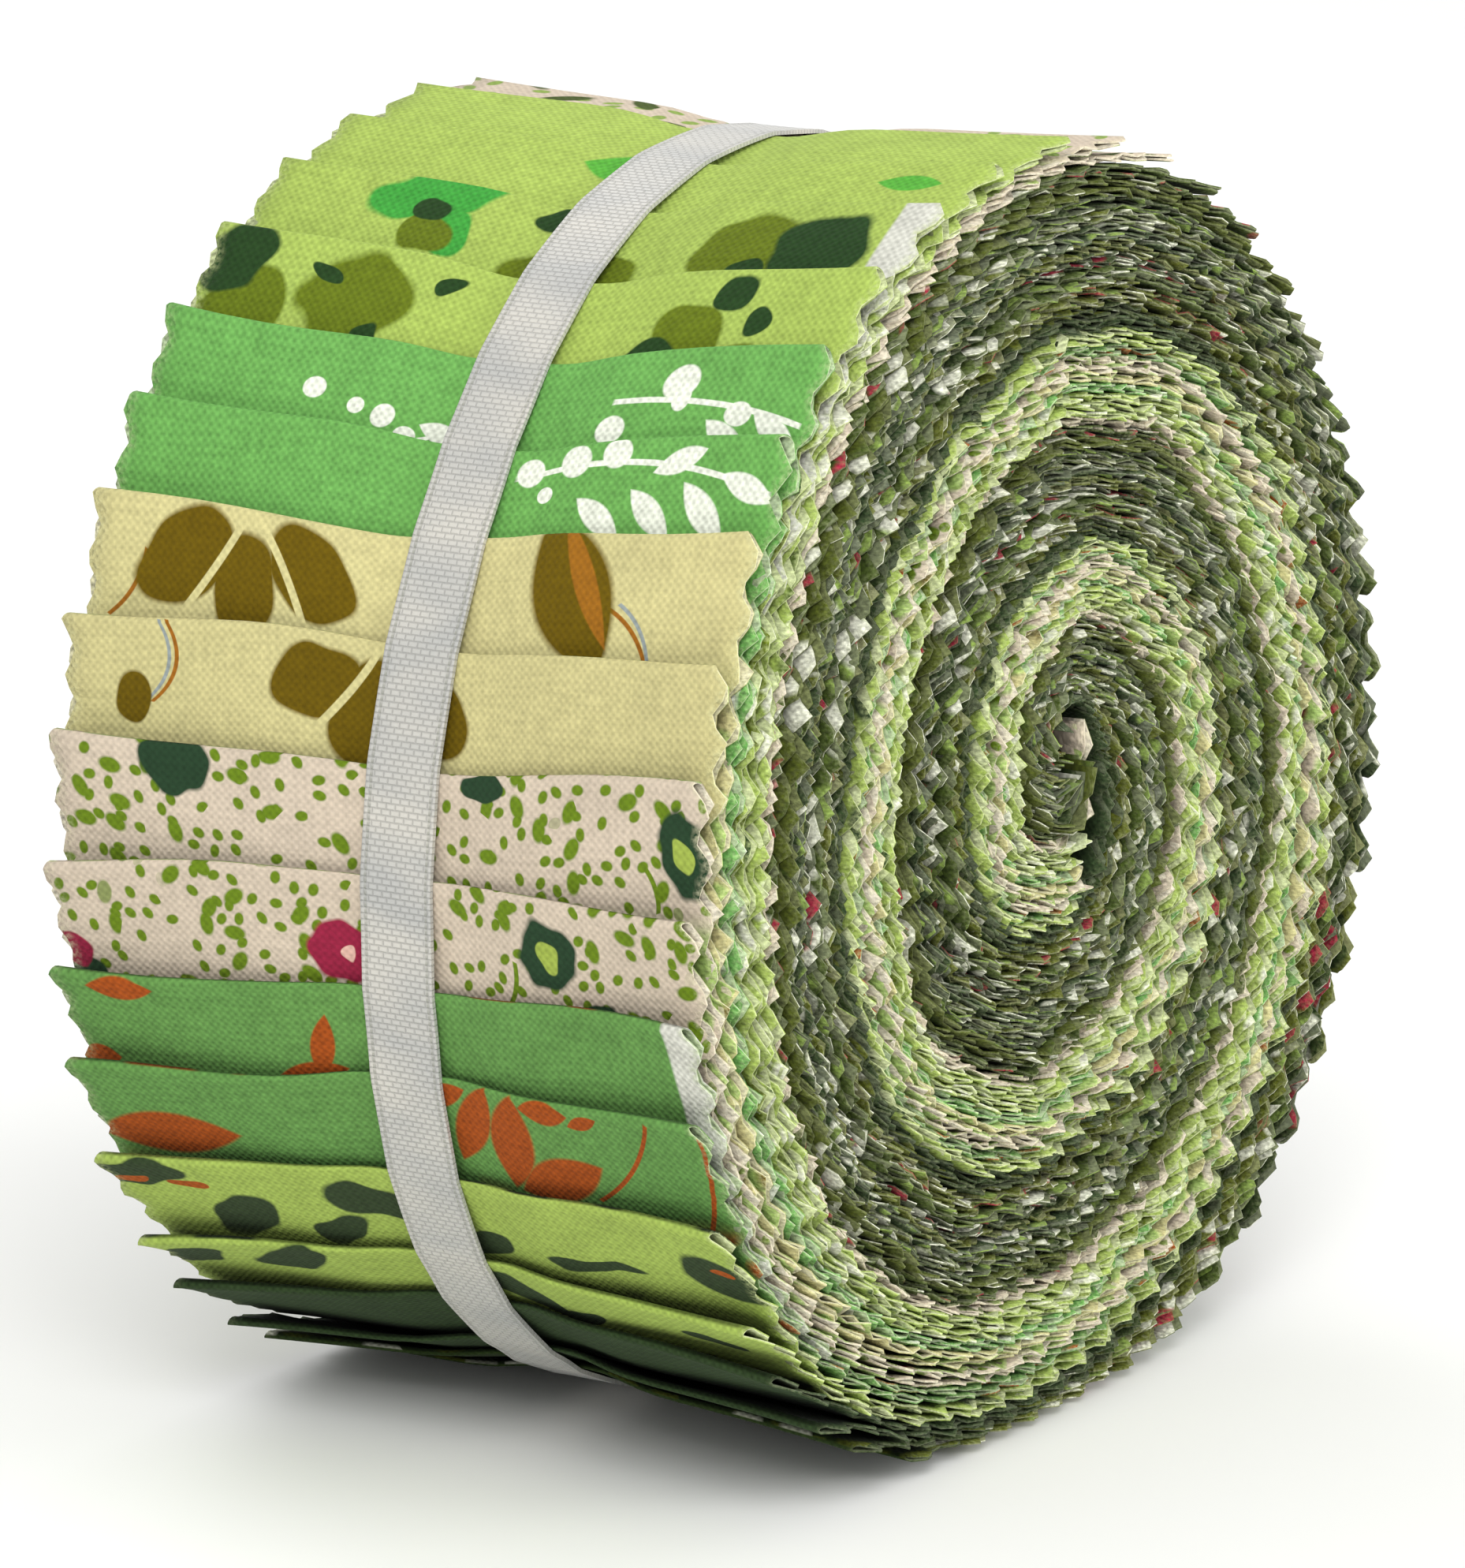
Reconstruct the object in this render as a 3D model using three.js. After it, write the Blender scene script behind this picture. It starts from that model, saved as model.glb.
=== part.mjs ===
// A wound roll of precut quilting strips, standing on its rim, with a satin ribbon tied round its middle.
// Millimetres, +Z up. The winding axis runs along Y, the open spiral face looks along -Y, and the strips'
// folded ends step round the rim. Angles turn from +X towards +Z, seen from the spiral face, which is the
// way that the strips wind inwards.
import * as THREE from "three";

// Driving dimensions of the roll
const STRIP_WIDTH = 65; // a strip from pinked edge to pinked edge
const STRIPS = 40; // strips in the stack, each one folded in half with the fold outside
const ROLL_RADIUS = 55.2; // mean radius where the strips lie tight
const TURN_PITCH = 19; // the whole stack's thickness, which each turn adds to the radius
const TURNS = ROLL_RADIUS / TURN_PITCH; // from the rim to the centre
const ROUNDNESS = { lobes: 3, height: 0.9, peakAngle: 100.6 }; // how far the hand-wound rim is from a circle
const FLAT_SPOT = { height: 53.8, angle: 270 }; // the standing surface, measured from the winding axis
const PRESSED = { loose: 0.3, from: 12, to: 55 }; // share of a fold's height left, and its reach in degrees
const SNUG = { loose: 0.4, from: 330, turns: 130, fade: 38 }; // the same where the folds lie closer all round

// The folded ends round the rim: where the first one lies, and how wide each band is that shows
const FIRST_FOLD = 90.2; // degrees
const SHOWN_BANDS = [11.5, 9.8, 10.2, 9.6, 8.7, 8.7, 10.3, 10.2, 10.2, 9.5, 8.4, 9.7, 10.1, 6.6, 9.7, 5.4];
const FOLD_SKEW = 1.7; // degrees that a fold lies later at its back end than at its middle
const FOLD_STEP = { middle: 0.6, edge: 2.2 }; // a fold's height over the strip that it covers
const EDGE_FLARE = 1.1; // the loose edges stand this far out from the tied middle
const FOLD_GAP = 0.3; // degrees between the foot of a fold and its crest

// Pinked edges
const TOOTH_DEPTH = 2; // two teeth to a band
const BETWEEN = 0.6; // share of the way from the middle to an edge where the loose cloth is measured too
const CHAMFER = 2.6; // radial width of the outermost plies on a face
const LEAST_PLY = 0.4; // a spiral line nearer than this to the chamfer is left out

// Telescoping: how far a strip slides along the axis, the same at both its edges
const RIM_SLIDE = { from: 45, distance: 2 }; // outer turns sit further back than the inner ones
const PLY_SLIDE = [
  { phase: 0, slide: -0.5 },
  { phase: 0.14, slide: -0.7 },
  { phase: 0.42, slide: -0.1 },
  { phase: 0.7, slide: 0.5 },
  { phase: 0.92, slide: 0.4 },
]; // phase 0 is the first strip of the stack, phase 1 the last
const EYE_RADIUS = 2.5; // the folded inner ends at the centre
const EYE_SHIFT = { x: -4.6, z: 3.2, within: 51, fall: 0.8 }; // the hand-wound centre lies off the rim's own

// The ribbon and its groove
const RIBBON = { width: 7, thickness: 1, clearance: 0.3 };
const RIBBON_LINE = { middle: 4.3, tilt: 3.5, tiltAngle: 336 }; // it lies a little aslant
const GROOVE = { depth: 1.2, spare: 0.6, wall: 2.2 }; // spare beside the ribbon, and the width of each wall

const COLORS = { cloth: 0x9cbf63, ribbon: 0xdfe0d8 };

const radians = THREE.MathUtils.degToRad;
const cosDeg = (angle) => Math.cos(radians(angle));
const sinDeg = (angle) => Math.sin(radians(angle));

// Start angle and width of every band, the hidden ones sharing what the shown ones leave.
function foldBands() {
  const shown = SHOWN_BANDS.reduce((sum, width) => sum + width, 0);
  const hiddenWidth = (360 - shown) / (STRIPS - SHOWN_BANDS.length);
  let start = FIRST_FOLD;
  return Array.from({ length: STRIPS }, (_, i) => {
    const width = SHOWN_BANDS[i] ?? hiddenWidth;
    const band = { start, width };
    start += width;
    return band;
  });
}

// Mean radius of the hand-wound roll at an angle.
const roundness = (angle) =>
  ROLL_RADIUS + ROUNDNESS.height * cosDeg(ROUNDNESS.lobes * (angle - ROUNDNESS.peakAngle));

const ribbonMiddle = (angle) =>
  RIBBON_LINE.middle + RIBBON_LINE.tilt * cosDeg(angle - RIBBON_LINE.tiltAngle);

// The furthest that anything reaches at an angle below the axis: to a level over the standing surface.
const flatLimit = (angle, level = 0) =>
  sinDeg(angle) < -0.5 ? (FLAT_SPOT.height - level) / -sinDeg(angle) : Infinity;

// Share of its free height that loose cloth keeps, which is least where the roll's weight presses it flat.
function looseness(angle) {
  const { lerp, smoothstep, euclideanModulo } = THREE.MathUtils;
  const away = smoothstep(Math.abs(angle - FLAT_SPOT.angle), PRESSED.from, PRESSED.to);
  const past = euclideanModulo(angle - SNUG.from + 180, 360) - 180;
  const snug =
    smoothstep(past, -SNUG.fade, 0) * (1 - smoothstep(past, SNUG.turns, SNUG.turns + SNUG.fade));
  return lerp(PRESSED.loose, 1, away) * lerp(1, SNUG.loose, snug);
}

// What is left of a fold's height at a share 0 to 1 along its band.
const foldProfile = (along) => 1 - along ** 0.8;

// Radius of the rim's loose cloth at an angle, a place across the strip and a share along its band.
function clothRadius(angle, y, along) {
  const out = Math.min(Math.abs(y - ribbonMiddle(angle)) / (STRIP_WIDTH / 2), 1.1);
  const step = THREE.MathUtils.lerp(FOLD_STEP.middle, FOLD_STEP.edge, out ** 1.5);
  const loose = EDGE_FLARE * out ** 2 + step * foldProfile(along);
  return roundness(angle) + loose * looseness(angle);
}

// Radius of the groove's floor, which leaves the ribbon clear of the cloth and of the standing surface.
function grooveRadius(angle, along) {
  const radius = roundness(angle) - GROOVE.depth + FOLD_STEP.middle * foldProfile(along);
  return Math.min(radius, flatLimit(angle, RIBBON.thickness + 2 * RIBBON.clearance));
}

// Phase in the stack, 0 to 1, of the ply that lies at an angle and a radius.
function plyPhase(angle, radius) {
  const inward = (1 - radius / roundness(angle)) * TURNS;
  const turns = (angle - FIRST_FOLD) / 360 - inward;
  return turns - Math.floor(turns);
}

// How far the ply at a radius has slid along the axis.
function slideAt(phase, radius) {
  const next = PLY_SLIDE.findIndex((row) => row.phase > phase);
  let slide = PLY_SLIDE.at(-1).slide;
  if (next > 0) {
    const [a, b] = [PLY_SLIDE[next - 1], PLY_SLIDE[next]];
    slide = THREE.MathUtils.mapLinear(phase, a.phase, b.phase, a.slide, b.slide);
  }
  const outer = THREE.MathUtils.smoothstep(radius, RIM_SLIDE.from, ROLL_RADIUS);
  return slide * (1 - outer) + RIM_SLIDE.distance * outer;
}

// Collects points and triangles; `flip` turns a face round.
class Skin {
  points = [];
  triangles = [];
  add(angle, radius, y) {
    const shift = Math.max(1 - (radius / EYE_SHIFT.within) ** 2, 0) ** EYE_SHIFT.fall;
    const x = radius * cosDeg(angle) + EYE_SHIFT.x * shift;
    const z = radius * sinDeg(angle) + EYE_SHIFT.z * shift;
    this.points.push(x, y, z);
    return this.points.length / 3 - 1;
  }
  face(a, b, c, flip = false) {
    this.triangles.push(...(flip ? [a, b, c] : [a, c, b]));
  }
  quad(a, b, c, d, flip = false) {
    this.face(a, b, c, flip);
    this.face(a, c, d, flip);
  }
  geometry() {
    const made = new THREE.BufferGeometry();
    made.setAttribute("position", new THREE.Float32BufferAttribute(this.points, 3));
    made.setIndex(this.triangles);
    const drawn = made.toNonIndexed();
    drawn.computeVertexNormals();
    return drawn;
  }
}

// Stations round the rim: each band has its fold's crest, two teeth and the foot of the next fold.
function rimStations() {
  const stations = [];
  for (const { start, width } of foldBands()) {
    for (const along of [0, 0.25, 0.5, 0.75, 1]) {
      const gap = along === 0 ? FOLD_GAP / 2 : along === 1 ? -FOLD_GAP / 2 : 0;
      stations.push({ angle: start + along * width + gap, along, tooth: along === 0.25 || along === 0.75 });
    }
  }
  return stations;
}

// Points across the strip at a station: pinked edge, loose cloth, groove, loose cloth, pinked edge.
function rimColumn(skin, { angle, along, tooth }) {
  const half = STRIP_WIDTH / 2;
  const slide = RIM_SLIDE.distance;
  const edge = half - (tooth ? 0 : TOOTH_DEPTH);
  const floor = RIBBON.width / 2 + GROOVE.spare;
  const ribbon = ribbonMiddle(angle);
  const loose = (y) => ({ y, radius: clothRadius(angle, y, along) });
  const grooved = (y) => ({ y, radius: grooveRadius(angle, along) });
  return [
    loose(-edge + slide),
    loose(-half * BETWEEN),
    loose(ribbon - floor - GROOVE.wall),
    grooved(ribbon - floor),
    grooved(ribbon + floor),
    loose(ribbon + floor + GROOVE.wall),
    loose(half * BETWEEN),
    loose(edge + slide),
  ].map(({ y, radius }) => {
    const skewed = angle + (FOLD_SKEW * y) / half;
    return skin.add(skewed, Math.min(radius, flatLimit(skewed)), y);
  });
}

// Joins two runs of points, both from the rim to the shared centre, nearest radius first.
function zip(skin, left, right, flip) {
  let [i, j] = [0, 0];
  while (i < left.length - 1 || j < right.length - 1) {
    const stepLeft =
      j === right.length - 1 || (i < left.length - 1 && left[i + 1].radius >= right[j + 1].radius);
    const next = stepLeft ? left[i + 1] : right[j + 1];
    if (left[i].id !== right[j].id && next.id !== left[i].id && next.id !== right[j].id)
      skin.face(left[i].id, next.id, right[j].id, flip);
    if (stepLeft) i += 1;
    else j += 1;
  }
}

// One face of the roll: pinked rim, chamfer of the outermost plies, then the plies' spiral to the eye.
function spiralFace(skin, stations, rim, side) {
  const flip = side > 0;
  const half = (side * STRIP_WIDTH) / 2;
  const eye = skin.add(0, 0, half);
  const rays = stations
    .map((station, i) => ({ ...station, i, angle: station.angle + FOLD_SKEW * side }))
    .filter((station) => station.tooth)
    .map(({ angle, i }) => {
      const place = (radius, phase = plyPhase(angle, radius)) => ({
        radius,
        id: skin.add(angle, radius, half + slideAt(phase, radius)),
      });
      const points = [place(Math.min(roundness(angle), flatLimit(angle)) - CHAMFER)];
      const firstTurn = (angle - FIRST_FOLD) / 360;
      for (let turn = 1; turn > -TURNS - 1; turn--)
        for (const { phase } of PLY_SLIDE.toReversed()) {
          const radius = roundness(angle) * (1 - (firstTurn - phase - turn) / TURNS);
          if (radius < points[0].radius - LEAST_PLY && radius > EYE_RADIUS)
            points.push(place(radius, phase));
        }
      return { i, points: [...points, { radius: 0, id: eye }] };
    });
  rays.forEach(({ i, points }, k) => {
    const next = rays[(k + 1) % rays.length];
    zip(skin, points, next.points, flip);
    const reach = (next.i - i + stations.length) % stations.length;
    const outer = Array.from({ length: reach + 1 }, (_, s) => rim[(i + s) % stations.length]);
    const middle = Math.ceil(reach / 2);
    outer.slice(1).forEach((id, s) => {
      const inner = s < middle ? points[0].id : next.points[0].id;
      skin.face(outer[s], inner, id, flip);
      if (s === middle - 1) skin.face(points[0].id, next.points[0].id, id, flip);
    });
  });
}

function stripRoll() {
  const skin = new Skin();
  const stations = rimStations();
  const rim = stations.map((station) => rimColumn(skin, station));
  rim.forEach((here, i) => {
    const next = rim[(i + 1) % rim.length];
    for (let c = 0; c < here.length - 1; c++) skin.quad(here[c], next[c], next[c + 1], here[c + 1]);
  });
  spiralFace(skin, stations, rim.map((columns) => columns[0]), -1);
  spiralFace(skin, stations, rim.map((columns) => columns.at(-1)), 1);
  return skin.geometry();
}

// The ribbon is a closed band in its groove, pulled flat over the standing surface.
function tieRibbon() {
  const skin = new Skin();
  const { width, thickness, clearance } = RIBBON;
  const steps = 2 * STRIPS;
  const rings = Array.from({ length: steps }, (_, k) => {
    const angle = (360 * k) / steps;
    const laid = roundness(angle) - GROOVE.depth + FOLD_STEP.middle + clearance + thickness;
    const outer = Math.min(laid, flatLimit(angle, clearance));
    const middle = ribbonMiddle(angle);
    const corner = (radius, side) => skin.add(angle, radius, middle + (side * width) / 2);
    const inner = outer - thickness;
    return [corner(outer, -1), corner(outer, 1), corner(inner, 1), corner(inner, -1)];
  });
  rings.forEach((here, k) => {
    const next = rings[(k + 1) % steps];
    for (let c = 0; c < 4; c++) {
      const d = (c + 1) % 4;
      skin.quad(here[c], next[c], next[d], here[d]);
    }
  });
  return skin.geometry();
}

const materials = {
  cloth: new THREE.MeshStandardMaterial({ color: COLORS.cloth, roughness: 0.9, metalness: 0 }),
  ribbon: new THREE.MeshStandardMaterial({ color: COLORS.ribbon, roughness: 0.45, metalness: 0 }),
};

function piece(name, geometry, material) {
  const mesh = new THREE.Mesh(geometry, material);
  mesh.name = name;
  return mesh;
}

// The origin is the middle of the box round the roll, at the height of the surface that it stands on.
const roll = new THREE.Group();
roll.add(piece("strip_roll", stripRoll(), materials.cloth));
roll.add(piece("tie_ribbon", tieRibbon(), materials.ribbon));
const box = new THREE.Box3().setFromObject(roll);
const center = box.getCenter(new THREE.Vector3());
roll.position.set(-center.x, -center.y, -box.min.z);

export default roll;
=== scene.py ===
import math

import bpy
import numpy as np
from mathutils import Matrix, Vector


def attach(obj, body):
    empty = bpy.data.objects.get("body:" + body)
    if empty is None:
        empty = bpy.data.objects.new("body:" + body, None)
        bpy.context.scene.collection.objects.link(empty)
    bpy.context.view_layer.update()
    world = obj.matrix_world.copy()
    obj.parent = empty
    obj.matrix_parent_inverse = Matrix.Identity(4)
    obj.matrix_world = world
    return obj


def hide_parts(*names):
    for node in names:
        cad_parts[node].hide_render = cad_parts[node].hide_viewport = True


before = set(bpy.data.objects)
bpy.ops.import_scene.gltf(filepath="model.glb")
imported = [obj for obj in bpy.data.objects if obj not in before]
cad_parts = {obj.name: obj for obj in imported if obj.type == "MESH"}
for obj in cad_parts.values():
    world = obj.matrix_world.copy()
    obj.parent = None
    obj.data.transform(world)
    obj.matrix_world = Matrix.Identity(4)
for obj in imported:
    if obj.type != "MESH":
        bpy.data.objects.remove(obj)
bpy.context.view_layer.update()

# A wound roll of pinked quilting strips with a satin ribbon. Lengths are in millimetres until a mesh is made.
MM = 0.001

# The roll, as in the part's own dimensions
STRIP_WIDTH = 65.0
STRIPS = 40
HALF = STRIP_WIDTH / 2
ROLL_RADIUS = 55.2
TURN_PITCH = 19.0
TURNS = ROLL_RADIUS / TURN_PITCH
LOBES, LOBE_HEIGHT, LOBE_ANGLE = 3, 0.9, 100.6
FLAT_HEIGHT, FLAT_ANGLE = 53.8, 270
PRESSED_LOOSE, PRESSED_FROM, PRESSED_TO = 0.3, 12, 55
SNUG_LOOSE, SNUG_FROM, SNUG_TO = 0.4, 290, 330  # where the folds lie closer, up to the first shown one
SNUG_END = (165, 130)  # degrees past that between which they loosen again
AXIS = np.array([0.38, -0.65, FLAT_HEIGHT])  # the winding axis in the part's frame

# The folded ends round the rim
FIRST_FOLD = 90.2
SHOWN_BANDS = [11.5, 9.8, 10.2, 9.6, 8.7, 8.7, 10.3, 10.2, 10.2, 9.5, 8.4, 9.7, 10.1, 6.6, 9.7, 5.4]
FOLD_SKEW = 1.7
STEP_MIDDLE, STEP_EDGE = 0.6, 2.2
EDGE_FLARE = 1.1
FLARE_DEPTH = 5.0  # bands inward over which the flare dies out
FOLD_PUFF = 0.32  # how far a loose fold opens beyond its two plies
FOLD_WANDER = 0.45  # degrees that a fold line strays
FOLD_BEND = np.radians([60, 30, 0, -30, -60])  # rows round a fold
FOLD_ARC = 1.4  # millimetres of cloth round it
FOLD_BULGE = 1.1  # how far it stands forward, against a half circle
STEP_GROWTH, FOLD_FALL = 1.5, 0.8  # powers of the step's growth outwards, and of its fall along a band
OUTMOST = 1.1  # half widths from the ribbon beyond which the cloth gets no looser
PUFF_DEPTH = 0.2  # bands inward over which an opened fold closes
WANDER_LENGTHS, WANDER_FADE = (70, 31), 30  # waves of a fold line across the strip, and degrees to their end

# Cloth and pinking
PLY = 0.19
PLY_PITCH = TURN_PITCH / STRIPS / 2
TOOTH_PITCH, TOOTH_DEPTH = 4.4, 1.8
TOOTH_PHASE = 0.25
BACK_WEAR = 0.7  # share of the teeth's depth that is left on the handled back face
DIE_SHIFT, EDGES_APART = 0.07, 0.6  # spread of a strip's place under the cutting die, and its edges' offset
UNEVEN, UNEVEN_WAVES = 0.12, (1.7, 0.53)  # how unevenly deep the teeth are, and in which waves
LOOSE_THREADS, THREADS_FROM = 0.22, (6, 12)  # spread of the cut edge along the axis, past the neat fold
RUFFLE, RUFFLE_FROM = 0.16, (0, 8)  # spread of the cut edge off its turn
ROWS_PER_TOOTH = 4
ROW = TOOTH_PITCH / ROWS_PER_TOOTH
SHOWN_ROWS = 12  # rows from the fold that show on the rim, or lie just under the next fold
SHOWN_DEPTH = (12.5, 10.5)  # millimetres from the fold between which the print that shows gives way
DIPPED_ROWS = 90  # rows from the fold that feel the ribbon's pull
EYE_RADIUS = (1.6, 3.2)  # between which the strips' inner ends lie
TUCK_STRIPS, TUCK_RADIUS = (38, 39), 0.3  # the strips whose ends make the very centre
SHORT_STRIPS, SHORT_END = 14, (1005, 6)  # the first strips end early, near one ray: degrees, and their spread
# How far to the right, top, left and bottom hand winding leaves a turn that even winding would leave at the
# first radius. The centre is a tight tuck above the axis, and the outer turns are looser on the right and below.
WOUND_EVEN = [0, 5, 10.7, 16, 22, 28, 42, 50, 55.2]
WOUND_BY_HAND = [
    [-0.2, 1.2, 4.2, 10.6, 17.0, 21.5, 35.5, 44.5, 55.2],
    [9.0, 10.2, 12.6, 16.2, 21.0, 26.5, 39.6, 48.8, 55.2],
    [1.8, 4.6, 10.4, 15.6, 21.6, 28.6, 42.6, 50.2, 55.2],
    [-6.8, 0.4, 5.6, 10.4, 17.0, 23.6, 37.6, 46.4, 55.2],
]

# Telescoping along the axis: the stack's phase from first strip to last, and the outer turns
SLIDE_PHASE = [0, 0.14, 0.42, 0.7, 0.92, 1]
SLIDE = [-0.5, -0.7, -0.1, 0.5, 0.4, -0.2]
RIM_SLIDE, RIM_SLIDE_FROM = 2.0, 45
SLIDE_JITTER = {"fabric": 0.3, "strip": 0.25}
SLIDE_WAVE, SLIDE_WAVE_LENGTH = 0.25, 47

# The ribbon
RIBBON_WIDTH, RIBBON_THICKNESS, RIBBON_LAP = 7.0, 0.35, 14.0
RIBBON_MIDDLE, RIBBON_TILT, RIBBON_TILT_ANGLE = 4.3, 3.5, 336
SEAM_ACROSS = 3.0  # of each stitched line from the ribbon's middle
RIBBON_CLEAR = 0.35  # over the surface that the roll stands on
RIBBON_OVER, RIBBON_SAG = 0.5, 0.16  # over the folds' crests, and how far it sinks between them
CLOTH_CLEAR, UNDER_RIBBON = 0.12, 0.75  # the cloth over that surface, and its further rise under the ribbon
SEAT_WALL = (8, 4.5)  # distances from the ribbon's middle between which it rises
PINCH, PINCH_FLAT, PINCH_REACH, PINCH_DEPTH = 1.1, 4.4, 5.0, 8.0

chance = np.random.default_rng(40)


def smooth(x, low, high):
    t = np.clip((x - low) / (high - low), 0, 1)
    return t * t * (3 - 2 * t)


# Winding
def fold_bands():
    """Start and width of every band in degrees, the hidden ones sharing what the shown ones leave."""
    hidden = (360 - sum(SHOWN_BANDS)) / (STRIPS - len(SHOWN_BANDS))
    widths = np.array(SHOWN_BANDS + [hidden] * (STRIPS - len(SHOWN_BANDS)))
    return FIRST_FOLD + np.cumsum(widths) - widths, widths


def roundness(angle):
    """Radius of the hand-wound rim where the strips lie tight."""
    return ROLL_RADIUS + LOBE_HEIGHT * np.cos(np.radians(LOBES * (angle - LOBE_ANGLE)))


def ribbon_middle(angle):
    return RIBBON_MIDDLE + RIBBON_TILT * np.cos(np.radians(angle - RIBBON_TILT_ANGLE))


def flat_limit(angle, level):
    """The furthest reach at an angle that stays a level over the standing surface, or no limit above it."""
    below = -np.sin(np.radians(angle))
    return np.where(below > 0.5, (FLAT_HEIGHT - level) / np.maximum(below, 0.5), 1e3)


def squeezed(radius, limit, depth=3.0):
    """Presses what would pass the limit into the last few millimetres before it, in the same order."""
    over = np.maximum(radius - (limit - depth), 0)
    return np.where(over > 0, limit - depth * np.exp(-over / depth), radius)


def looseness(angle):
    """Share of its free height that loose cloth keeps round the rim."""
    away = smooth(np.abs((angle - FLAT_ANGLE + 180) % 360 - 180), PRESSED_FROM, PRESSED_TO)
    past = (angle - SNUG_TO + 180) % 360 - 180
    snug = smooth(past, SNUG_FROM - SNUG_TO, 0) * smooth(past, *SNUG_END)
    return (PRESSED_LOOSE + (1 - PRESSED_LOOSE) * away) * (1 + (SNUG_LOOSE - 1) * snug)


def turned(length):
    """Degrees wound after a length of strip from its fold."""
    full = 2 * math.pi * TURNS
    return np.degrees(full * (1 - np.sqrt(np.clip(1 - 2 * length / (ROLL_RADIUS * full), 0, 1))))


def wound_length(radius):
    """Length of strip from its fold in to a radius."""
    return math.pi * (ROLL_RADIUS**2 - radius**2) / TURN_PITCH


def by_hand(turn, angle):
    """Radius of a turn in the hand-wound roll, and how far its middle lies from the axis."""
    even = ROLL_RADIUS * (1 - turn / (360 * TURNS))
    right, top, left, bottom = (np.interp(even, WOUND_EVEN, row) for row in WOUND_BY_HAND)
    wide, high = (right + left) / 2, (top + bottom) / 2
    radius = (wide + high) / 2 + (wide - high) / 2 * np.cos(np.radians(2 * angle))
    return radius * roundness(angle) / ROLL_RADIUS, (right - left) / 2, (top - bottom) / 2


# Gentle waves that neighbouring plies share: direction in degrees, length, height and start
CALM_RADIUS = (42, 53)  # where they die out towards the rim
WAVES = [
    (*wave, chance.uniform(0, 2 * math.pi))
    for wave in ((20, 15, 0.3), (75, 11, 0.22), (130, 18, 0.3), (165, 8, 0.14))
]


def wavy(x, z):
    """How far the waves move a point to the right and up."""
    bend = np.zeros_like(x), np.zeros_like(x)
    for direction, length, height, start in WAVES:
        c, s = math.cos(math.radians(direction)), math.sin(math.radians(direction))
        wave = height * np.sin(2 * math.pi * (x * c + z * s) / length + start)
        bend[0][:] += -s * wave
        bend[1][:] += c * wave
    return bend


def seat(radius, angle, y, to_right, to_top):
    """A point of the wound stack with the shared waves, in the part's frame."""
    x, z = to_right + radius * np.cos(np.radians(angle)), to_top + radius * np.sin(np.radians(angle))
    amount = 1 - smooth(radius, *CALM_RADIUS)
    bend = wavy(x, z)
    x, z = x + bend[0] * amount, z + bend[1] * amount
    return np.stack([x, y, z], -1) + AXIS


def tooth(length):
    """How far the pinked edge is cut back at a length along the strip."""
    return TOOTH_DEPTH * np.abs(2 * ((length / TOOTH_PITCH + TOOTH_PHASE) % 1) - 1)


STARTS, WIDTHS = fold_bands()
COLUMNS = np.array(
    [-HALF, -29.5, -27, -23, -19, -15.5, -12.5, -10, -8, -6.5, -5.2, -4, -2, 0]
    + [2, 4, 5.2, 6.5, 8, 10, 12.5, 15.5, 19, 23, 27, 29.5, HALF]
)


def columns_at(row):
    """The columns that a row keeps: all that show, then the edges and the ribbon's dip, then the edges."""
    last = len(COLUMNS) - 1
    if row <= SHOWN_ROWS:
        return list(range(last + 1))
    return [0, 1, last // 2, last - 1, last] if row <= DIPPED_ROWS else [0, 1, last - 1, last]


def strip_rows(end):
    """Rows along a folded strip: outer ply from its inner end, round the fold, and back along the inner ply.
    Each has its length wound in, its ply from 1 to -1, its share of the fold's bulge, and its place in print."""
    lengths = np.arange(0, end, ROW)
    rows = len(FOLD_BEND)
    round_fold = -FOLD_ARC * np.arange(1, rows + 1) / (rows + 1)
    length = np.concatenate([lengths[::-1], np.zeros(rows), lengths])
    ply = np.concatenate([np.ones(len(lengths)), np.sin(FOLD_BEND), -np.ones(len(lengths))])
    back = np.concatenate([0 * lengths, np.cos(FOLD_BEND), 0 * lengths])
    along = np.concatenate([lengths[::-1], round_fold, -FOLD_ARC - lengths])
    return length, ply, back, along


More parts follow.
